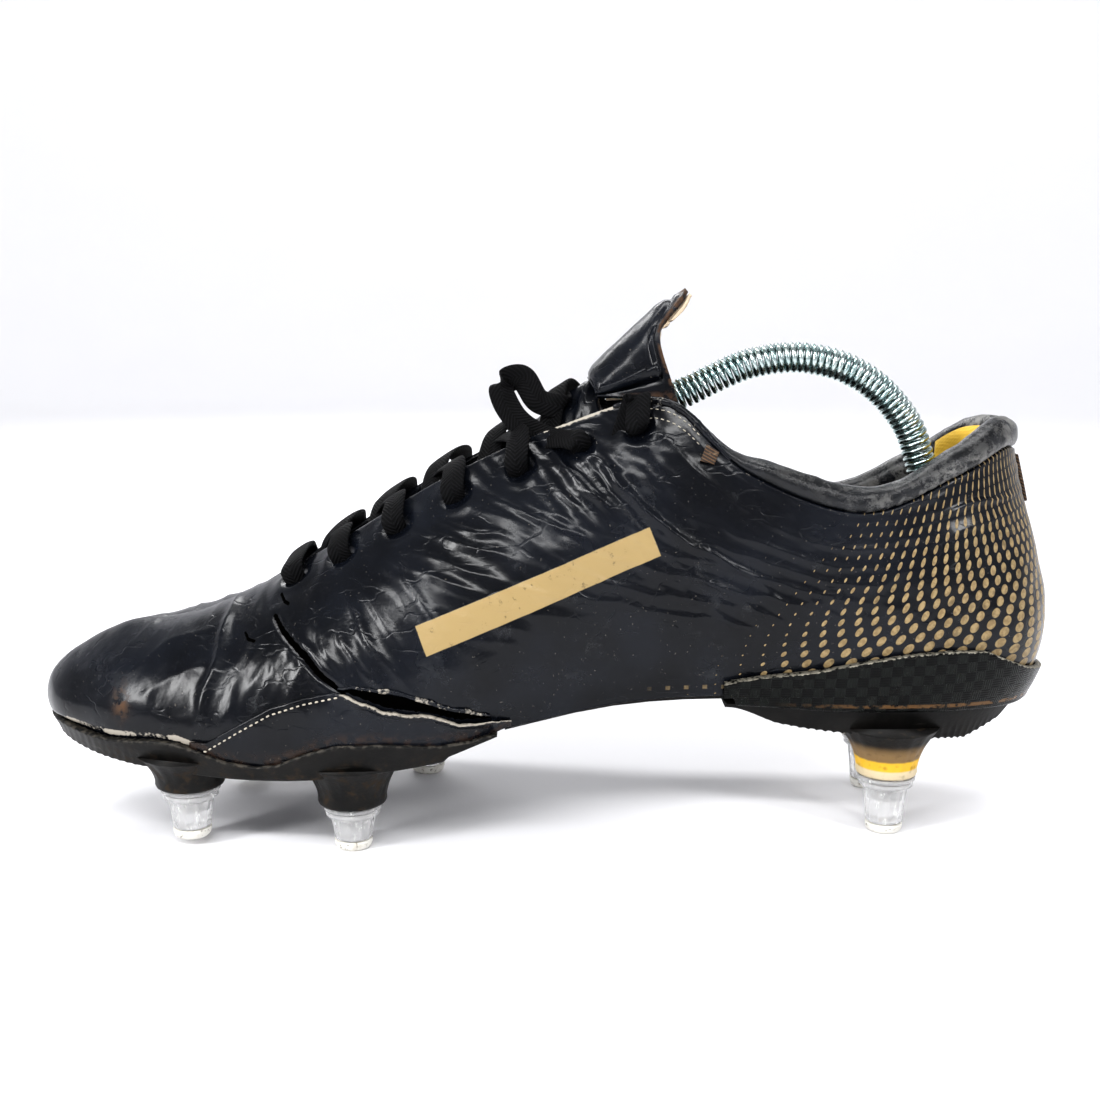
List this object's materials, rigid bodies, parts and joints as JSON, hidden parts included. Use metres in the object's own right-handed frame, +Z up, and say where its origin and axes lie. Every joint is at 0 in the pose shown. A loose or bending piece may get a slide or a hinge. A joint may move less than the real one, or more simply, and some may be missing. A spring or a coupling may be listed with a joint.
{
  "type": "soccer cleat",
  "caption": "Laced right-foot soccer boot with glossy black upper, screw-in studs under a moulded plate, composite heel cup and a sprung shoe tree inside.",
  "frame": {"origin": "centre of the bounding box on the ground plane the studs stand on", "axes": "+X from toe to heel, +Y from the medial to the lateral side of a right boot, +Z up"},
  "size_m": [0.2922, 0.0944, 0.154],
  "materials": {
    "coated_upper": "glossy coated black synthetic leather with creases",
    "lining_board": "matt non-woven board",
    "suede_lining": "worn grey microsuede",
    "yellow_lining": "matt yellow textile",
    "brown_stitch": "matt brown stitched patch",
    "black_plate": "satin black moulded nylon with dirt",
    "carbon_weave": "woven composite under clear coat",
    "beige_lining": "matt beige lining",
    "lace_weave": "black flat woven polyester",
    "aglet_plastic": "black heat-shrunk film",
    "tree_plastic": "satin grey plastic",
    "zinc_spring": "bright zinc-plated wire",
    "thread_steel": "plated steel thread",
    "clear_stud": "clear moulded plastic, scuffed",
    "white_tip": "worn white nylon"
  },
  "bodies": {
    "root": {"upper": "coated_upper", "side_panel_medial": "coated_upper", "side_panel_lateral": "coated_upper", "tongue": "coated_upper", "eyestay_medial": "lining_board", "eyestay_lateral": "lining_board", "heel_stiffener": "lining_board", "toe_puff": "lining_board", "lasting_board": "lining_board", "sockliner": "suede_lining", "collar_padding": "suede_lining", "heel_lining_patch": "yellow_lining", "collar_bartack": "brown_stitch", "heel_tab": "brown_stitch", "forefoot_plate": "black_plate", "shank": "black_plate", "heel_plate": "black_plate", "heel_counter": "carbon_weave", "lace": "lace_weave", "lace_aglet_a": "aglet_plastic", "lace_aglet_b": "aglet_plastic", "tree_toe_block": "tree_plastic", "tree_spring": "zinc_spring", "stud_insert_1": "thread_steel", "stud_insert_2": "thread_steel", "stud_insert_3": "thread_steel", "stud_insert_4": "thread_steel", "stud_insert_5": "thread_steel", "stud_insert_6": "thread_steel"},
    "tongue_flap": {"tongue_flap": "coated_upper", "tongue_flap_lining": "beige_lining"},
    "tree_knob": {"tree_heel_knob": "tree_plastic"},
    "washer_1": {"stud_washer_1": "clear_stud"},
    "stud_1": {"stud_post_1": "thread_steel", "stud_body_1": "clear_stud", "stud_tip_1": "white_tip"},
    "washer_2": {"stud_washer_2": "clear_stud"},
    "stud_2": {"stud_post_2": "thread_steel", "stud_body_2": "clear_stud", "stud_tip_2": "white_tip"},
    "washer_3": {"stud_washer_3": "clear_stud"},
    "stud_3": {"stud_post_3": "thread_steel", "stud_body_3": "clear_stud", "stud_tip_3": "white_tip"},
    "washer_4": {"stud_washer_4": "clear_stud"},
    "stud_4": {"stud_post_4": "thread_steel", "stud_body_4": "clear_stud", "stud_tip_4": "white_tip"},
    "washer_5": {"stud_washer_5": "clear_stud"},
    "stud_5": {"stud_post_5": "thread_steel", "stud_body_5": "clear_stud", "stud_tip_5": "white_tip"},
    "washer_6": {"stud_washer_6": "clear_stud"},
    "stud_6": {"stud_post_6": "thread_steel", "stud_body_6": "clear_stud", "stud_tip_6": "white_tip"}
  },
  "joints": [
    {"name": "tongue_flap_fold", "type": "hinge", "parent": "root", "child": "tongue_flap", "pos_m": [0.0123, -0.00162, 0.127], "axis": [0, 1, 0], "range_deg": [-70, 10]},
    {"name": "tree_knob_slide", "type": "slide", "parent": "root", "child": "tree_knob", "axis": [-1, 0, 0], "range_m": [0, 0.018], "stiffness_N_per_m": 250, "springref_m": -0.03, "deforming": ["tree_spring"]},
    {"name": "stud_1_travel", "type": "slide", "parent": "root", "child": "washer_1", "axis": [0, 0, -1], "range_m": [0, 0.008]},
    {"name": "stud_1_turn", "type": "hinge", "parent": "washer_1", "child": "stud_1", "pos_m": [-0.1002, -0.02962, 0.0156], "axis": [0, 0, -1], "range_deg": [0, 2881]},
    {"name": "stud_2_travel", "type": "slide", "parent": "root", "child": "washer_2", "axis": [0, 0, -1], "range_m": [0, 0.008]},
    {"name": "stud_2_turn", "type": "hinge", "parent": "washer_2", "child": "stud_2", "pos_m": [-0.0542, -0.03262, 0.0116], "axis": [0, 0, -1], "range_deg": [0, 2881]},
    {"name": "stud_3_travel", "type": "slide", "parent": "root", "child": "washer_3", "axis": [0, 0, -1], "range_m": [0, 0.008]},
    {"name": "stud_3_turn", "type": "hinge", "parent": "washer_3", "child": "stud_3", "pos_m": [-0.0937, 0.01938, 0.0156], "axis": [0, 0, -1], "range_deg": [0, 2881]},
    {"name": "stud_4_travel", "type": "slide", "parent": "root", "child": "washer_4", "axis": [0, 0, -1], "range_m": [0, 0.008]},
    {"name": "stud_4_turn", "type": "hinge", "parent": "washer_4", "child": "stud_4", "pos_m": [-0.0387, 0.03038, 0.0134], "axis": [0, 0, -1], "range_deg": [0, 2881]},
    {"name": "stud_5_travel", "type": "slide", "parent": "root", "child": "washer_5", "axis": [0, 0, -1], "range_m": [0, 0.008]},
    {"name": "stud_5_turn", "type": "hinge", "parent": "washer_5", "child": "stud_5", "pos_m": [0.0978, -0.02012, 0.0156], "axis": [0, 0, -1], "range_deg": [0, 2881]},
    {"name": "stud_6_travel", "type": "slide", "parent": "root", "child": "washer_6", "axis": [0, 0, -1], "range_m": [0, 0.008]},
    {"name": "stud_6_turn", "type": "hinge", "parent": "washer_6", "child": "stud_6", "pos_m": [0.1013, 0.01688, 0.0156], "axis": [0, 0, -1], "range_deg": [0, 2881]}
  ],
  "couplings": [
    {"joint": "stud_1_turn", "follows": "stud_1_travel", "rad_per_m": 6283.2},
    {"joint": "stud_2_turn", "follows": "stud_2_travel", "rad_per_m": 6283.2},
    {"joint": "stud_3_turn", "follows": "stud_3_travel", "rad_per_m": 6283.2},
    {"joint": "stud_4_turn", "follows": "stud_4_travel", "rad_per_m": 6283.2},
    {"joint": "stud_5_turn", "follows": "stud_5_travel", "rad_per_m": 6283.2},
    {"joint": "stud_6_turn", "follows": "stud_6_travel", "rad_per_m": 6283.2}
  ]
}
